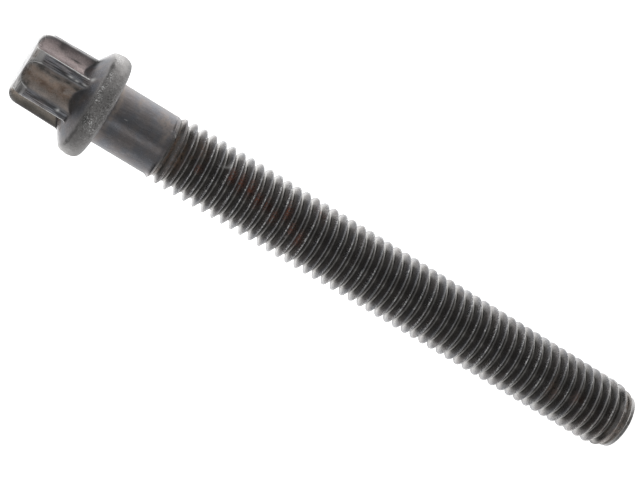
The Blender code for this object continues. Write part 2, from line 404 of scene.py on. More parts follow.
def closeEndFace(shape):
    # The flat end that the bolt stands on, hollowed a little in the middle
    outer = openRing(shape, 0)
    around = np.arange(pointShape["columns"]) * 2 * pi / pointShape["columns"]
    for radius, height in pointShape["rings"]:
        inner = addPoints(shape, radius * mm + 0 * around, around, height * mm + 0 * around)
        stitch(shape, inner, outer)
        outer = inner
    closeMiddle(shape, outer, height * mm, -1)


def closeMiddle(shape, ring, height, side):
    middle = shape.verts.new((0, 0, height))
    for first, second in zip(ring, ring[1:] + ring[:1]):
        shape.faces.new((middle, first, second) if side > 0 else (middle, second, first))


def makeHeadAndShank(shape):
    angles = evenColumns(headShape["columns"])
    rings = headAndShankRows(angles)
    rows = [addPoints(shape, radius, angles, height) for radius, height in rings]
    for upper, lower in zip(rows, rows[1:]):
        corners = zip(upper, lower, lower[1:] + lower[:1], upper[1:] + upper[:1])
        for face in corners:
            shape.faces.new(face)
    closeMiddle(shape, rows[0], topHeight, 1)
    print(f"head and shank: {len(rows)} rings of {len(angles)} points")
    return rows[-1]


def makeBoltMesh():
    shape = bmesh.new()
    makeThread(shape)
    threadTop = openRing(shape, joinHeight)
    closeEndFace(shape)
    stitch(shape, threadTop, makeHeadAndShank(shape))
    openEdges = sum(1 for edge in shape.edges if not edge.is_manifold)
    mesh = bpy.data.meshes.new("bolt")
    shape.to_mesh(mesh)
    shape.free()
    mesh.shade_smooth()
    triangles = sum(len(polygon.vertices) - 2 for polygon in mesh.polygons)
    print(f"bolt mesh: {triangles} triangles, {openEdges} open edges")
    return mesh


# Marks on this bolt's near side, and a few of the same kinds on the far one:
# height in mm, angle round it in degrees, and sizes round it and along it in mm
marks = {
    "rust": [  # red, down in the grooves
        (71.87, -93, 0.6, 0.3), (67.5, -71, 1.0, 0.5), (65.95, -73.3, 1.2, 0.45), (64.43, -72.5, 1.1, 0.45),
        (62.88, -83.3, 1.0, 0.4), (61.5, -84.2, 0.9, 0.3), (60.0, -105, 0.6, 0.35), (59.9, -92, 0.7, 0.35),
        (58.47, -75, 1.3, 0.45), (56.95, -98.3, 0.9, 0.4), (55.35, -110, 1.1, 0.4),
        (54.43, -36.7, 0.9, 0.4), (9.3, -92, 0.8, 0.4),
    ],
    "brown": [  # old rust
        (96.6, -102, 0.4, 0.9), (96.0, -157, 0.5, 0.7), (95.0, -105, 0.42, 1.3), (92.9, -108, 0.45, 1.3),
        (92.2, -96, 0.5, 0.6), (90.6, -157, 0.8, 0.9), (76.8, 120, 2.2, 0.8), (76.1, -90, 5.0, 0.25),
        (74.8, -95, 2.6, 1.0), (73.3, -81.7, 0.45, 0.25), (72.5, -60, 1.6, 0.7), (48.5, 95, 0.8, 0.35),
        (31.0, 170, 0.7, 0.35), (13.4, -100, 1.6, 0.4), (12.3, -106, 1.2, 0.4), (10.5, 70, 1.6, 0.5),
        (9.2, -91, 1.3, 0.4), (7.6, -105, 2.6, 0.25), (6.1, -112, 2.8, 0.3), (4.65, -100, 2.0, 0.25),
        (3.2, -105, 2.5, 0.3), (1.5, -100, 4.5, 0.35),
    ],
    "tan": [  # light stains
        (97.5, -72, 0.35, 0.2), (97.4, -64, 0.6, 0.3), (96.1, -96, 0.6, 0.8), (94.6, -95, 0.6, 1.3),
        (93.2, -97, 0.5, 1.1), (85.4, -44, 1.0, 0.16), (85.3, 40, 2.0, 0.2), (85.0, -80, 1.6, 0.3),
        (84.9, -64, 1.4, 0.35), (82.3, -40, 1.2, 0.7), (78.6, -48, 1.6, 1.1), (78.3, 100, 2.2, 0.9),
        (77.7, -68, 1.6, 0.5), (2.3, -95, 2.2, 0.12), (0.9, -100, 3.5, 0.3),
    ],
    "soot": [  # black: dirt, and painted shade along the valleys' edges, at their lower ends and in the run-out grooves
        (96.9, -81, 0.2, 0.5), (96.7, -117, 0.4, 0.6), (96.0, -83, 0.5, 0.7), (95.5, -3, 0.5, 0.6),
        (95.4, -83.9, 0.22, 1.0), (94.8, -20, 0.4, 0.5), (93.8, -84, 0.2, 1.1), (93.4, -160, 0.5, 1.0),
        (93.2, 135, 0.7, 1.0), (92.4, -6, 0.6, 0.9), (92.4, -30, 0.12, 0.7), (92.2, -81.7, 0.2, 1.1),
        (91.5, 60, 0.6, 1.2), (91.2, -2, 0.5, 0.6), (90.6, -83.5, 0.25, 0.9), (90.4, -108, 0.45, 0.7),
        (90.2, -95, 0.5, 0.45), (90.1, -21, 0.7, 0.6), (88.1, -107, 0.9, 0.45), (87.2, 70, 2.2, 0.9),
        (76.45, -110, 3.0, 0.1), (75.75, -100, 3.5, 0.1), (75.2, -41.7, 0.12, 0.1), (74.95, -95, 4.0, 0.12),
    ],
    "glitter": [  # clusters of fine bright nicks round the flange
        (88.3, -76.3, 0.5, 0.3), (88.2, -69.7, 0.5, 0.3), (88.1, -83.3, 0.5, 0.3), (88.1, -55, 0.8, 0.3),
        (87.9, -25, 1.0, 0.4), (87.9, 115, 1.6, 0.5), (87.6, 30, 1.5, 0.6), (87.5, -109, 0.5, 0.3),
        (87.4, 175, 1.5, 0.5), (87.25, -105, 0.5, 0.4), (86.9, -113.5, 0.5, 0.4),
    ],
    "worn": [  # bright: rubbed or struck metal, and painted glints
        (92.2, -73.6, 0.12, 0.35), (91.4, -125.3, 0.22, 0.2), (91.3, -74.2, 0.1, 0.3),
        (90.2, -73.5, 0.1, 0.3), (89.6, -61.9, 0.25, 0.18), (83.2, -84.5, 0.04, 0.04),
        (80.4, -93, 0.04, 0.04), (79.0, -98, 0.05, 0.05), (78.2, -104, 0.06, 0.05), (77.9, -88, 0.05, 0.06),
        (77.2, -60, 0.09, 0.06), (76.5, -62.5, 0.08, 0.06), (75.35, -54, 0.07, 0.05),
        (75.35, -47, 0.07, 0.05), (74.07, -60, 0.15, 0.05), (74.07, -66, 0.08, 0.05),
        (72.35, -105, 0.12, 0.06), (70.9, -107, 0.1, 0.05), (68.3, -61.5, 0.15, 0.42),
        (68.15, -58.5, 0.4, 0.11), (57.2, -131.5, 0.12, 0.06), (56.8, -118, 0.09, 0.07),
        (2.1, -135, 0.15, 0.1), (1.45, -61.5, 0.22, 0.14),
    ],
    "nicked": [  # stretches of the crests' upper edges
        (72.0, -113, 1.2, 0.4), (70.5, -84, 1.0, 0.4), (70.1, -72, 0.8, 0.4), (69.8, -117, 1.3, 0.4),
        (68.1, -85, 1.0, 0.4), (66.36, -108, 1.5, 0.3), (66.36, -50, 1.1, 0.3), (66.0, 35, 1.4, 0.4),
        (64.9, -112.5, 0.5, 0.3), (64.9, -101, 0.5, 0.3), (64.9, -82.5, 0.5, 0.3), (63.4, -102.5, 1.3, 0.3),
        (63.4, -69, 1.1, 0.3), (62.2, -160, 1.5, 0.4), (61.9, -107, 0.9, 0.3), (61.9, -80, 0.9, 0.3),
        (60.4, -109, 0.6, 0.3), (60.4, -99, 0.4, 0.3), (58.9, -130, 0.5, 0.3), (58.9, -105, 0.3, 0.3),
        (58.9, -57.5, 0.8, 0.3), (57.4, -93, 0.3, 0.3), (57.4, -52.5, 0.8, 0.3), (57.3, 140, 1.7, 0.4),
        (55.9, -133, 1.0, 0.3), (55.9, -50, 0.6, 0.3), (54.6, -100, 0.3, 0.3), (54.6, -72, 0.3, 0.3),
        (45.0, 60, 1.5, 0.4), (38.1, -130, 1.2, 0.4), (33.0, -30, 1.2, 0.4), (24.2, -101, 1.0, 0.4),
    ],
}

headFinish = {
    # Each valley, counted from the one next to +X: rust along its floor, how purple it is, and its
    # brightness, which on the near valleys is partly a painted sheen
    "valleyRust": (0.3, 0.5, 0.2, 0.3, 0.85, 0.1),
    "valleyPurple": (0.4, 0.2, 0.7, 0.2, 0.5, 1.0),
    "valleyTone": (0.9, 0.8, 1.0, 0.7, 1.4, 1.25),
    # Painted highlights along the two long edges of each lobe, counted from the one next to +X
    "edgePolish": ((0.3, 0.7), (0.6, 0.2), (0.2, 0.6), (0.7, 0.2), (1.0, 0.1), (0.15, 1.0)),
    "longEdge": 0.09 * mm,  # width of those painted highlights
    "longEdgeTop": 0.9 * mm,  # and how far it goes on above the foot of the dome
    "mouthEdge": (0.04 * mm, 0.06 * mm),  # polish round a valley's mouth: place inside the edge, and width
    "edgeShares": (1.2, 0.8),  # strength of the two
    "valleyFade": 0.5 * mm,
    "valleyInner": (3.62 * mm, 0.2 * mm),  # nearer to the axis is no valley finish; its fade outwards
    "upperDome": 0.95 * mm,  # where the lighter part of the dome starts, below the top
    "upperDomeFade": 0.35 * mm,
    "domeFade": 0.3 * mm,
    "bandFade": 0.15 * mm,  # edges of the streaked bands on the lobes
    "footFade": 0.25 * mm,  # at the cone
}
threadFinish = {
    # Bands along the thread: their middles above the crest's middle, and their widths
    # a painted highlight along one side of each root, and painted shade along the other
    "rootLine": (0.89 * mm, 0.17 * mm),
    "rootShade": (0.6 * mm, 0.14 * mm),
    "nicks": (0.06 * mm, 0.07 * mm),
    # Where each finish starts down the groove, and over how much it grows or fades, as shares of its depth
    "grooveFrom": (0.1, 1 / 3),
    "rootFrom": (0.6, 0.25),
    "rootShadeFrom": (0.72, 0.2),
    "rustFrom": (0, 1 / 3),
    "crestTo": (0, 0.1),
    "wornTo": (0, 1 / 6),
    "nickReach": 0.2,
    "fade": 0.3 * mm,  # at the shank
    "wornTip": (5 * mm, 4 * mm),  # the crests are bright up to this height, and fade over the next part
    "chamferEdge": (0.3 * mm, 0.3 * mm),  # height and width of the polish round the point
    "chamferPolish": 0.7,
}
flangeFinish = {
    "rim": (6.6 * mm, 0.7 * mm),  # distance from the axis where the rim's finish starts, and its fade
    "grainSides": ((-88, 34), (100, 70)),  # where the rim is most pitted: middle and reach, in degrees
    "grainElsewhere": 0.2,
    # Painted shade on one side of the rim, its share, and a darker band round the rim's foot
    "grimeSide": (-142, 26),
    "grimeShare": 0.6,
    "grimeFoot": (0.3 * mm, 0.55 * mm),  # above the seat
    "junction": (-0.55 * mm, 0.17 * mm),  # stain on the shank, from the seat
}


def spotMask(spots, radius, angle, height):
    mask = np.zeros_like(radius)
    for spotHeight, spotAngle, wide, tall in spots:
        aside = wrapped(angle - radians(spotAngle)) * radius / (wide * mm)
        along = (height - spotHeight * mm) / (tall * mm)
        mask = np.maximum(mask, np.exp(-(aside**2) - along**2))
    return mask


def sideMask(angle, middle, reach):
    return bump(wrapped(angle - radians(middle)), 0, radians(reach))


def fromCrest(angle, height):
    # Distance along the bolt from the nearest crest's middle, up being positive
    pitch = threadShape["pitch"]
    lift = height - threadShape["crestAtX"] - angle / (2 * pi) * pitch
    return (lift + pitch / 2) % pitch - pitch / 2


def headMasks(radius, angle, height):
    step = 2 * pi / headShape["lobes"]
    lobe = lobeRadius(angle)
    limit = headLimit(height)
    domeBase = topHeight - headShape["domeHeight"]
    onHead = rise(height, coneHeight(radius), headFinish["footFade"]) * (height > seatHeight + 2 * mm)
    sunk = onHead * rise(limit - radius, 0, headFinish["valleyFade"])
    sunk *= rise(radius, *headFinish["valleyInner"])
    turn = (angle - headShape["turn"]) % (2 * pi)
    valley = (turn // step).astype(int) % headShape["lobes"]
    nearLobe = np.rint(turn / step).astype(int) % headShape["lobes"]
    highlight = np.array(headFinish["edgePolish"])[nearLobe, (turn % step < step / 2).astype(int)]
    belowTop = height < domeBase + headFinish["longEdgeTop"]
    longEdge = bump(lobe - limit, 0, headFinish["longEdge"]) * belowTop
    atMouth = (lobe < limit + 0.1 * mm) * (height > domeBase)
    mouthEdge = bump(limit - radius, *headFinish["mouthEdge"]) * atMouth
    longShare, mouthShare = headFinish["edgeShares"]
    middle = np.sin(pi * (turn % step) / step) ** 3
    upperDome = topHeight - headFinish["upperDome"]
    bandFade = headFinish["bandFade"]
    return {
        # painted highlights on the lobes' long edges, and wear round the valleys' mouths
        "edgeWear": onHead * np.clip(longShare * longEdge * highlight + mouthShare * mouthEdge, 0, 1),
        "valley": sunk,
        "valleyRust": sunk * np.array(headFinish["valleyRust"])[valley] * middle,
        "valleyPurple": np.array(headFinish["valleyPurple"])[valley],
        "valleyTone": np.array(headFinish["valleyTone"])[valley],
        "dome": onHead * rise(height, domeBase, headFinish["domeFade"]) * (1 - sunk),
        "upperDome": onHead * rise(height, upperDome, headFinish["upperDomeFade"]),
        "lobeBand": onHead * rise(lobe - limit, -bandFade / 2, bandFade) * (height < domeBase + 0.1 * mm),
    }


def flangeMasks(radius, angle, height):
    onFlange = (height > seatHeight - 0.1 * mm) * (height < coneHeight(radius) + 0.3 * mm)
    rim = onFlange * rise(radius, *flangeFinish["rim"])
    grain = sum(sideMask(angle, *side) for side in flangeFinish["grainSides"])
    grain = rim * np.clip(flangeFinish["grainElsewhere"] + grain, 0, 1)
    # a darker band round the rim's foot, and painted shade on one side of the rim
    darkening = bump(height - seatHeight, *flangeFinish["grimeFoot"]) * (radius > 6 * mm)
    darkening += flangeFinish["grimeShare"] * rim * sideMask(angle, *flangeFinish["grimeSide"])
    return {
        "rim": rim,
        "rimGrain": grain,
        "rimGrime": onFlange * np.clip(darkening, 0, 1),
        "junction": bump(height - seatHeight, *flangeFinish["junction"]) * (radius < 5.2 * mm),
    }


def threadMasks(radius, angle, height):
    fade = threadFinish["fade"]
    inThread = 1 - rise(height, runOutShape["rootRise"][1] - fade, fade)
    depth = rise(threadShape["outside"] / 2 - radius, 0, threadShape["depth"])
    offset = fromCrest(angle, height)
    aboveCrest = offset % threadShape["pitch"]
    chamferEdge = threadFinish["chamferPolish"] * bump(height, *threadFinish["chamferEdge"])
    wornTip = 1 - rise(height, *threadFinish["wornTip"])

    def below(name):
        return inThread * rise(depth, *threadFinish[name])

    def above(name):
        return inThread * (1 - rise(depth, *threadFinish[name]))

    return {
        "thread": inThread,
        "groove": below("grooveFrom"),
        "crest": np.maximum(above("crestTo"), chamferEdge),
        # painted highlight along the root
        "root": below("rootFrom") * bump(aboveCrest, *threadFinish["rootLine"]),
        "rootShade": below("rootShadeFrom") * bump(aboveCrest, *threadFinish["rootShade"]),
        "nicks": inThread * bump(offset, *threadFinish["nicks"]) * bump(depth, 0, threadFinish["nickReach"]),
        "tipWear": above("wornTo") * wornTip,
        "sunken": below("rustFrom"),
    }


def surfaceMasks(points):
    # How much of each finish lies at a place on the bolt, from 0 to 1
    radius = np.hypot(points[:, 0], points[:, 1])
    angle = np.arctan2(points[:, 1], points[:, 0])
    height = points[:, 2]
    masks = {name: spotMask(spots, radius, angle, height) for name, spots in marks.items()}
    for makeMasks in (headMasks, flangeMasks, threadMasks):
        masks.update(makeMasks(radius, angle, height))
    masks["rust"] *= masks.pop("sunken")
    return masks


def meshPoints(mesh, what="co"):
    values = np.empty(len(mesh.vertices) * 3)
    mesh.vertices.foreach_get(what, values)
    return values.reshape(-1, 3)


unevenness = {
    "crestDents": 0.09 * mm,  # how deep the real marks go
    "rimDents": 0.06 * mm,
    "forging": 0.012 * mm,
    "crestDentsFrom": 0.15,  # noise value at which they start
    "forgingFrom": -0.5,
    "slowCells": 900,  # a metre
    "quickCells": 2900,
    "quickShare": 0.4,  # of the quick noise in the rim's dents
    "flatFoot": 0.3 * mm,  # they fade out towards the end face that the bolt stands on
}


def roughen(mesh):
    points, normals = meshPoints(mesh), meshPoints(mesh, "normal")
    masks = surfaceMasks(points)
    slow, quick = (
        np.array([noise.noise(Vector(point) * unevenness[cells]) for point in points.tolist()])
        for cells in ("slowCells", "quickCells")
    )
    sunk = masks["crest"] * rise(quick, unevenness["crestDentsFrom"], 1) * unevenness["crestDents"]
    sunk += masks["rim"] * rise(slow + unevenness["quickShare"] * quick, 0, 1) * unevenness["rimDents"]
    sunk += (1 - masks["thread"]) * rise(slow, unevenness["forgingFrom"], 1) * unevenness["forging"]
    sunk *= rise(points[:, 2], 0, unevenness["flatFoot"])
    points -= normals * sunk[:, None]
    mesh.vertices.foreach_set("co", points.ravel())
    mesh.update()
    print("dents and forging marks pressed in")


def newNode(tree, kind, inputs=None, **settings):
    node = tree.nodes.new(kind)
    for name, value in settings.items():
        setattr(node, name, value)
    for name, value in (inputs or {}).items():
        if isinstance(value, bpy.types.NodeSocket):
            tree.links.new(value, node.inputs[name])
        else:
            node.inputs[name].default_value = value
    return node


def maths(tree, operation, first, second=0.0, clamp=False):
    node = newNode(tree, "ShaderNodeMath", {0: first, 1: second}, operation=operation, use_clamp=clamp)
    return node.outputs[0]


def times(tree, *values):
    result = values[0]
    for value in values[1:]:
        result = maths(tree, "MULTIPLY", result, value)
    return result


def mixColour(tree, share, first, second):
    node = newNode(tree, "ShaderNodeMix", {0: share, 6: first, 7: second}, data_type="RGBA")
    return node.outputs[2]


def mixValue(tree, share, first, second):
    return newNode(tree, "ShaderNodeMix", {0: share, 2: first, 3: second}).outputs[0]


def spread(tree, value, low, high):
    inputs = {"Value": value, "From Min": low, "From Max": high}
    return newNode(tree, "ShaderNodeMapRange", inputs, interpolation_type="SMOOTHSTEP").outputs[0]


def pattern(tree, place, scale, low, high, detail, stretch=(1, 1, 1)):
    # Noise with that many cells a millimetre, from 0 below low to 1 above high
    cells = tuple(scale * factor / mm for factor in stretch)
    moved = newNode(tree, "ShaderNodeMapping", {"Vector": place, "Scale": cells}).outputs[0]
    inputs = {"Vector": moved, "Scale": 1.0, "Detail": detail, "Roughness": 0.55}
    return spread(tree, newNode(tree, "ShaderNodeTexNoise", inputs).outputs[0], low, high)


steelLooks = {
    "blue": (0.175, 0.18, 0.198, 1),
    "brown": (0.208, 0.192, 0.192, 1),
    "groove": (0.18, 0.173, 0.165, 1),
    "crest": (0.33, 0.33, 0.335, 1),
    "tipWear": (0.5, 0.49, 0.48, 1),
    # painted highlight along the roots
    "root": (0.45, 0.438, 0.43, 1),
    "rootShade": (0.07, 0.067, 0.062, 1),
    "rim": (0.305, 0.295, 0.29, 1),
    "olive": (0.33, 0.312, 0.27, 1),
    "purple": (0.35, 0.298, 0.295, 1),
    "valleyRust": (0.37, 0.24, 0.16, 1),
    "oldRust": (0.19, 0.12, 0.08, 1),
    "tan": (0.37, 0.315, 0.28, 1),
    "lightBrown": (0.62, 0.5, 0.42, 1),
    # black, for dirt and for painted shade
    "soot": (0.07, 0.072, 0.07, 1),
    "redRust": (0.3, 0.09, 0.045, 1),
    "dome": (0.5, 0.49, 0.485, 1),
    "upperDome": (0.62, 0.61, 0.6, 1),
    "crown": (0.56, 0.56, 0.57, 1),
    "bright": (0.95, 0.95, 0.94, 1),
}
steelPatterns = {  # cells a millimetre, the noise values for none and for all of it, detail, and stretch
    "tarnish": (0.45, 0.36, 0.66, 4),
    "mottle": (1.7, 0.35, 0.68, 3),
    "blotches": (0.9, 0.3, 0.72, 4, (1, 1, 0.45)),
    "grain": (6, 0.3, 0.7, 2),
    "specks": (4.5, 0.52, 0.58, 1),
    "fineSpecks": (6.5, 0.54, 0.6, 1),
    "clusters": (0.4, 0.47, 0.62, 2),  # stretches where the specks gather
    "pits": (4, 0.5, 0.64, 2),
    "streaks": (4.5, 0.4, 0.62, 2, (1, 1, 0.08)),
    "scuffs": (2.4, 0.52, 0.72, 4, (1, 1, 0.4)),
    "rings": (4.5, 0.5, 0.58, 2),  # turned rings on the end face
    "ringGaps": (1.1, 0.36, 0.56, 3),
    "rustGrain": (3.5, 0.42, 0.56, 2),
}
steelTones = {  # brightness without the pattern and with all of it
    "streaks": (0.95, 1.06),
    "scuffs": (0.97, 1.25),
    "lobeStreaks": (0.55, 1.5),
    "valleyBlotches": (0.68, 1.15),
    "valleyGrain": (0.88, 1.1),
    "pitted": 0.36,  # where the surface is all pits
    "grain": 0.07,  # up and down
    "grooveGrain": 0.2,  # and as much more in the grooves
}
steelMarks = {
    # How much of each mark shows
    "rootShade": 0.9,
    "tan": 0.8,
    "brown": 0.85,
    "soot": 0.88,
    "rimGrime": 0.35,
    "rimPits": 0.6,
    "rimGlitter": 0.4,
    "clusters": 0.6,
    "nicks": 2.8,
    # Limits between which the mottled pattern, or for the valley rust the blotches, breaks each up
    "tanBreaks": (-0.6, 1),
    "brownBreaks": (-0.3, 0.9),
    "sootBreaks": (-0.7, 0.6),
    "wearBreaks": (-0.5, 0.6),
    "valleyRustBreaks": (0.1, 1),
    "rootShadeFacing": (0.64, 0.4),  # the roots' shade only shows where they are seen straight on
    "crown": (3.95 * mm, 3.6 * mm),  # the end face's finish, from its outer edge inwards
    "ringDrift": 0.1 * mm,
}
steelGloss = {
    "metallic": 0.93,
    "dullLoss": 0.75,  # of it where the surface is all stain
    "rubbedMetallic": 0.25,
    "valleyRustDull": 0.4,
    "tanDull": 0.5,
    "rough": (0.27, 0.31),
    "groove": 0.21,
    "valley": 0.42,
    "rim": 0.38,
    "dull": 0.7,
    "rubbed": 0.6,
}
steelRelief = {
    "strength": 0.35,
    "height": 0.02 * mm,
    "grain": 0.4,
    "mottle": (0.5, 1.5),  # and on the rim
    "streaks": (0.25, 1.2),  # and on the lobes
    "nicks": 1.5,
}


def shaded(tree, colour, factor):
    return newNode(tree, "ShaderNodeVectorMath", {0: colour, "Scale": factor}, operation="SCALE").outputs[0]


def darkSteel():
    material = bpy.data.materials.new("darkPhosphatedSteel")
    material.use_nodes = True
    tree = material.node_tree
    shader = tree.nodes["Principled BSDF"]
    place = newNode(tree, "ShaderNodeTexCoord").outputs["Object"]

    def mask(name):
        return newNode(tree, "ShaderNodeAttribute", attribute_name=name).outputs["Fac"]

    def drawn(name, where=place):
        return pattern(tree, where, *steelPatterns[name])

    def toned(name, share):
        return mixValue(tree, share, *steelTones[name])

    def limited(value, name):
        return spread(tree, value, *steelMarks[name])

    def both(first, second):
        return maths(tree, "ADD", first, second, True)

    mottle, blotches, grain = drawn("mottle"), drawn("blotches"), drawn("grain")
    specks, streaks = drawn("specks"), drawn("streaks")
    level = newNode(tree, "ShaderNodeVectorMath", {0: place, 1: (1, 1, 0)}, operation="MULTIPLY").outputs[0]
    fromAxis = newNode(tree, "ShaderNodeVectorMath", {0: level}, operation="LENGTH").outputs["Value"]
    facing = newNode(tree, "ShaderNodeLayerWeight", {"Blend": 0.5}).outputs["Facing"]

    # Oiled steel, and the thread
    colour = mixColour(tree, drawn("tarnish"), steelLooks["blue"], steelLooks["brown"])
    colour = shaded(tree, colour, times(tree, toned("streaks", streaks), toned("scuffs", drawn("scuffs"))))
    # the root's colour paints a highlight along it
    for name in ("groove", "crest", "tipWear", "root"):
        colour = mixColour(tree, mask(name), colour, steelLooks[name])
    rootShade = times(tree, mask("rootShade"), limited(facing, "rootShadeFacing"), steelMarks["rootShade"])
    colour = mixColour(tree, rootShade, colour, steelLooks["rootShade"])
    colour = mixColour(tree, mask("rim"), colour, steelLooks["rim"])

    # The head's lobes, valleys, dome and end face
    colour = mixColour(tree, mask("lobeBand"), colour, shaded(tree, colour, toned("lobeStreaks", streaks)))
    valleyColour = mixColour(tree, mask("valleyPurple"), steelLooks["olive"], steelLooks["purple"])
    valleyTone = times(tree, toned("valleyBlotches", blotches), toned("valleyGrain", grain))
    # each valley's brightness is partly a painted sheen
    valleyTone = times(tree, mask("valleyTone"), valleyTone)
    colour = mixColour(tree, mask("valley"), colour, shaded(tree, valleyColour, valleyTone))
    dome = mixColour(tree, mask("upperDome"), steelLooks["dome"], steelLooks["upperDome"])
    onCrown = times(tree, mask("upperDome"), limited(fromAxis, "crown"))
    colour = mixColour(tree, mask("dome"), colour, mixColour(tree, onCrown, dome, steelLooks["crown"]))

    # Stains and rust, and painted shade
    valleyRust = times(tree, mask("valleyRust"), limited(blotches, "valleyRustBreaks"))
    colour = mixColour(tree, valleyRust, colour, steelLooks["valleyRust"])
    tanStain = both(mask("tan"), mask("junction"))
    tanStain = times(tree, tanStain, limited(mottle, "tanBreaks"), steelMarks["tan"])
    tanColour = mixColour(tree, mask("valley"), steelLooks["tan"], steelLooks["lightBrown"])
    colour = mixColour(tree, tanStain, colour, tanColour)
    oldRust = times(tree, mask("brown"), limited(mottle, "brownBreaks"), steelMarks["brown"])
    colour = mixColour(tree, oldRust, colour, steelLooks["oldRust"])
    redRust = times(tree, mask("rust"), drawn("rustGrain"))
    colour = mixColour(tree, redRust, colour, steelLooks["redRust"])
    # dirt, and painted shade on the head, in the run-out grooves and on one side of the rim
    soot = times(tree, mask("soot"), limited(mottle, "sootBreaks"))
    soot = both(soot, times(tree, mask("rimGrime"), steelMarks["rimGrime"]))
    colour = mixColour(tree, times(tree, soot, steelMarks["soot"]), colour, steelLooks["soot"])

    # Turned rings, pits and grain
    turned = newNode(tree, "ShaderNodeSeparateXYZ", {0: place}).outputs["Z"]
    turned = maths(tree, "SUBTRACT", fromAxis, turned)
    drift = times(tree, mottle, steelMarks["ringDrift"])
    turned = newNode(tree, "ShaderNodeCombineXYZ", {0: turned, 1: turned, 2: drift}).outputs[0]
    rings = times(tree, drawn("rings", turned), drawn("ringGaps"), mask("upperDome"))
    pitted = both(times(tree, drawn("pits"), mask("rimGrain"), steelMarks["rimPits"]), rings)
    swing = maths(tree, "ADD", times(tree, mask("groove"), steelTones["grooveGrain"]), steelTones["grain"])
    speckled = mixValue(tree, grain, maths(tree, "SUBTRACT", 1, swing), maths(tree, "ADD", 1, swing))
    colour = shaded(tree, colour, mixValue(tree, pitted, speckled, steelTones["pitted"]))

    # Bright wear, painted glints and painted edge highlights
    nicked = both(mask("nicked"), times(tree, drawn("clusters"), steelMarks["clusters"]))
    rubbed = times(tree, mask("nicks"), specks, nicked, steelMarks["nicks"])
    glitter = both(mask("glitter"), times(tree, mask("rimGrain"), mottle, steelMarks["rimGlitter"]))
    rubbed = both(rubbed, times(tree, drawn("fineSpecks"), glitter))
    rubbed = both(rubbed, times(tree, mask("edgeWear"), limited(mottle, "wearBreaks")))
    rubbed = both(rubbed, mask("worn"))
    colour = mixColour(tree, rubbed, colour, steelLooks["bright"])
    tree.links.new(colour, shader.inputs["Base Color"])

    rusty = both(times(tree, valleyRust, steelGloss["valleyRustDull"]), maths(tree, "ADD", oldRust, redRust))
    dull = both(rusty, maths(tree, "ADD", times(tree, tanStain, steelGloss["tanDull"]), soot))
    metal = maths(tree, "SUBTRACT", steelGloss["metallic"], times(tree, dull, steelGloss["dullLoss"]), True)
    tree.links.new(mixValue(tree, rubbed, metal, steelGloss["rubbedMetallic"]), shader.inputs["Metallic"])
    rough = mixValue(tree, mottle, *steelGloss["rough"])
    for name in ("groove", "valley", "rim"):
        rough = mixValue(tree, mask(name), rough, steelGloss[name])
    rough = mixValue(tree, dull, rough, steelGloss["dull"])
    tree.links.new(mixValue(tree, rubbed, rough, steelGloss["rubbed"]), shader.inputs["Roughness"])

    lumps = times(tree, grain, steelRelief["grain"])
    for drawing, where, name in ((mottle, "rim", "mottle"), (streaks, "lobeBand", "streaks")):
        deep = mixValue(tree, mask(where), *steelRelief[name])
        lumps = maths(tree, "ADD", lumps, times(tree, drawing, deep))
    lumps = maths(tree, "SUBTRACT", lumps, times(tree, specks, mask("nicks"), steelRelief["nicks"]))
    inputs = {"Strength": steelRelief["strength"], "Distance": steelRelief["height"], "Height": lumps}
    relief = newNode(tree, "ShaderNodeBump", inputs)
    tree.links.new(relief.outputs[0], shader.inputs["Normal"])
    return material


def makeBolt():
    mesh = makeBoltMesh()
    roughen(mesh)
    for name, values in surfaceMasks(meshPoints(mesh)).items():
        layer = mesh.attributes.new(name, "FLOAT", "POINT")
        layer.data.foreach_set("value", values.astype(np.float32))
    mesh.materials.append(darkSteel())
    bolt = bpy.data.objects.new("bolt", mesh)
    bpy.context.scene.collection.objects.link(bolt)
    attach(bolt, "root")
    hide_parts("flange_bolt")
    print("bolt finished in dark steel")


studio = {
    "floorWidth": 6,
    # Brightness of the surroundings round the bolt, by degrees from straight in front towards +X
    "walls": [
        (-180, 0.67), (-160, 0.82), (-144, 1.12), (-120, 0.99), (-96, 0.72), (-70, 0.39), (-50, 0.345),
        (-33, 0.36), (-12, 0.33), (0, 0.24), (24, 0.3), (60, 0.54), (84, 0.8), (104, 1.25), (124, 1.6),
        (144, 1.42), (162, 0.95), (180, 0.67),
    ],
    # How much of that is left, by height from straight down at -1 to straight up at 1
    "beside": [
        (-1, 2), (-0.8, 1.6), (-0.45, 1.35), (-0.3, 1.22), (-0.14, 1), (0, 1.3), (0.13, 0.9), (0.26, 0.14),
        (0.38, 0.06), (0.52, 0.08), (0.66, 0.4), (0.82, 0.62), (1, 0.45),
    ],
    "behind": [
        (-1, 2), (-0.8, 1.6), (-0.45, 1.35), (-0.3, 1.22), (-0.14, 1), (0, 1.5), (0.13, 1.6), (0.26, 1.05),
        (0.4, 0.9), (0.6, 1.15), (0.85, 1.1), (1, 0.45),
    ],
    "behindFrom": (0.4, 0.75),  # along Y
    "besideFrom": (-0.45, -0.12),  # nearer to the front all of it is left
    "lowRight": 0.63,  # and low down on the +X side
    "lowRightFrom": (0, 0.5),  # along X
    "lowRightBelow": (-0.32, -0.45),
    "strip": 0.75,  # the narrow lamp in front, level with the bolt's shank
    "stripSides": (-33, -22, -22, -11),
    "stripHeights": (-0.27, -0.17, 0.1, 0.25),
    "backPanel": 0.85,  # the wide lamp behind the bolt, which its end face reflects
    "panelHeights": (-0.04, 0.08, 0.24, 0.46),
    "panelFrom": (0.6, 0.9),
    "brightest": 2.5,
}


def addRamp(tree, value, wanted):
    ramp = newNode(tree, "ShaderNodeValToRGB", {0: value})
    ramp.color_ramp.interpolation = "EASE"
    stops = ramp.color_ramp.elements
    for place, level in wanted[1:-1]:
        stops.new(place)
    for stop, (place, level) in zip(stops, wanted):
        stop.position = place
        stop.color = (level, level, level, 1)
    return ramp.outputs["Color"]


def band(tree, value, edges):
    # Full between the two middle edges, nothing outside the outer ones
    start, full, fading, end = edges
    return times(tree, spread(tree, value, start, full), spread(tree, value, end, fading))


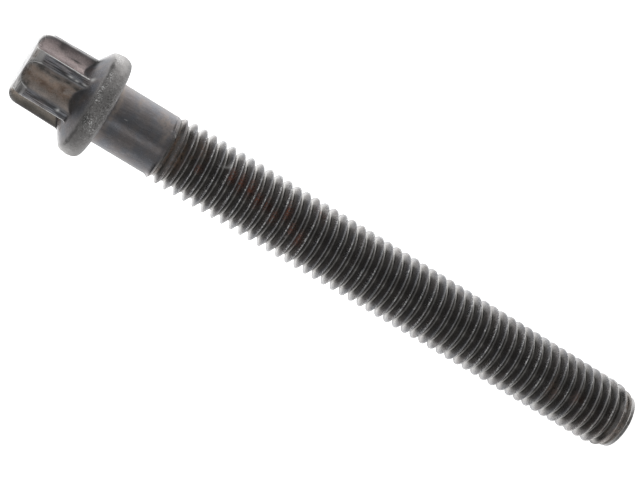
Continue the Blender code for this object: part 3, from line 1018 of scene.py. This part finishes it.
def makeWorld():
    world = bpy.data.worlds.new("studio")
    world.use_nodes = True
    bpy.context.scene.world = world
    tree = world.node_tree
    background = tree.nodes["Background"]
    direction = newNode(tree, "ShaderNodeTexCoord").outputs["Generated"]
    axes = newNode(tree, "ShaderNodeSeparateXYZ", {0: direction})
    aside, back, upwards = axes.outputs["X"], axes.outputs["Y"], axes.outputs["Z"]
    brightest = studio["brightest"]

    def halved(value, factor):
        # From 0 to 1, being 0.5 where the value is 0
        node = newNode(tree, "ShaderNodeMath", {0: value, 1: factor, 2: 0.5}, operation="MULTIPLY_ADD")
        return node.outputs[0]

    around = halved(maths(tree, "ARCTAN2", aside, maths(tree, "MULTIPLY", back, -1)), 1 / (2 * pi))
    wanted = [(degrees / 360 + 0.5, level / brightest) for degrees, level in studio["walls"]]
    walls = addRamp(tree, around, wanted)
    most = max(level for height, level in studio["beside"] + studio["behind"])
    sides = []
    for name in ("beside", "behind"):
        wanted = [((height + 1) / 2, level / most) for height, level in studio[name]]
        sides.append(addRamp(tree, halved(upwards, 0.5), wanted))
    left = mixValue(tree, spread(tree, back, *studio["behindFrom"]), *sides)
    left = mixValue(tree, spread(tree, back, *studio["besideFrom"]), 1, times(tree, left, most))
    lowRight = spread(tree, upwards, *studio["lowRightBelow"])
    lowRight = times(tree, lowRight, spread(tree, aside, *studio["lowRightFrom"]))
    walls = shaded(tree, walls, times(tree, left, mixValue(tree, lowRight, 1, studio["lowRight"])))
    edges = [degrees / 360 + 0.5 for degrees in studio["stripSides"]]
    strip = times(tree, band(tree, around, edges), band(tree, upwards, studio["stripHeights"]))
    panel = times(tree, band(tree, upwards, studio["panelHeights"]), spread(tree, back, *studio["panelFrom"]))
    lamps = maths(tree, "ADD", times(tree, strip, studio["strip"] / brightest),
                  times(tree, panel, studio["backPanel"] / brightest))
    walls = newNode(tree, "ShaderNodeVectorMath", {0: walls, 1: lamps}, operation="ADD").outputs[0]
    seen = newNode(tree, "ShaderNodeLightPath").outputs["Is Camera Ray"]
    white = (1 / brightest,) * 3 + (1,)
    tree.links.new(mixColour(tree, seen, walls, white), background.inputs["Color"])
    background.inputs["Strength"].default_value = brightest
    print("studio walls lit")


def makeFloor():
    half = studio["floorWidth"] / 2
    mesh = bpy.data.meshes.new("floor")
    corners = [(-half, -half, 0), (half, -half, 0), (half, half, 0), (-half, half, 0)]
    mesh.from_pydata(corners, [], [(0, 1, 2, 3)])
    material = bpy.data.materials.new("paleFloor")
    material.use_nodes = True
    shader = material.node_tree.nodes["Principled BSDF"]
    shader.inputs["Base Color"].default_value = (0.8, 0.8, 0.8, 1)
    shader.inputs["Roughness"].default_value = 0.9
    shader.inputs["Emission Color"].default_value = (1, 1, 1, 1)
    shader.inputs["Emission Strength"].default_value = 1
    mesh.materials.append(material)
    floor = bpy.data.objects.new("floor", mesh)
    bpy.context.scene.collection.objects.link(floor)
    floor.visible_diffuse = False
    floor.visible_glossy = False
    floor.visible_shadow = False
    print("floor laid")


camera = {
    "place": Vector((0.151, -241.55, 114.02)) * mm,
    "view": Vector((0, 0.96815, -0.25038)),
    "up": Vector((0.8553, 0.1297, 0.5016)),
    "lens": 102.94,
}


def makeCamera():
    data = bpy.data.cameras.new("photoCamera")
    data.lens = camera["lens"]
    data.sensor_width = 36
    data.clip_start = 1 * mm
    item = bpy.data.objects.new("photoCamera", data)
    bpy.context.scene.collection.objects.link(item)
    back = -camera["view"].normalized()
    right = camera["up"].cross(back).normalized()
    item.matrix_world = Matrix((right, back.cross(right), back)).transposed().to_4x4()
    item.location = camera["place"]
    bpy.context.scene.camera = item
    bpy.context.scene.view_settings.view_transform = "Standard"
    print("camera set")


makeCamera()
makeWorld()
makeFloor()
makeBolt()
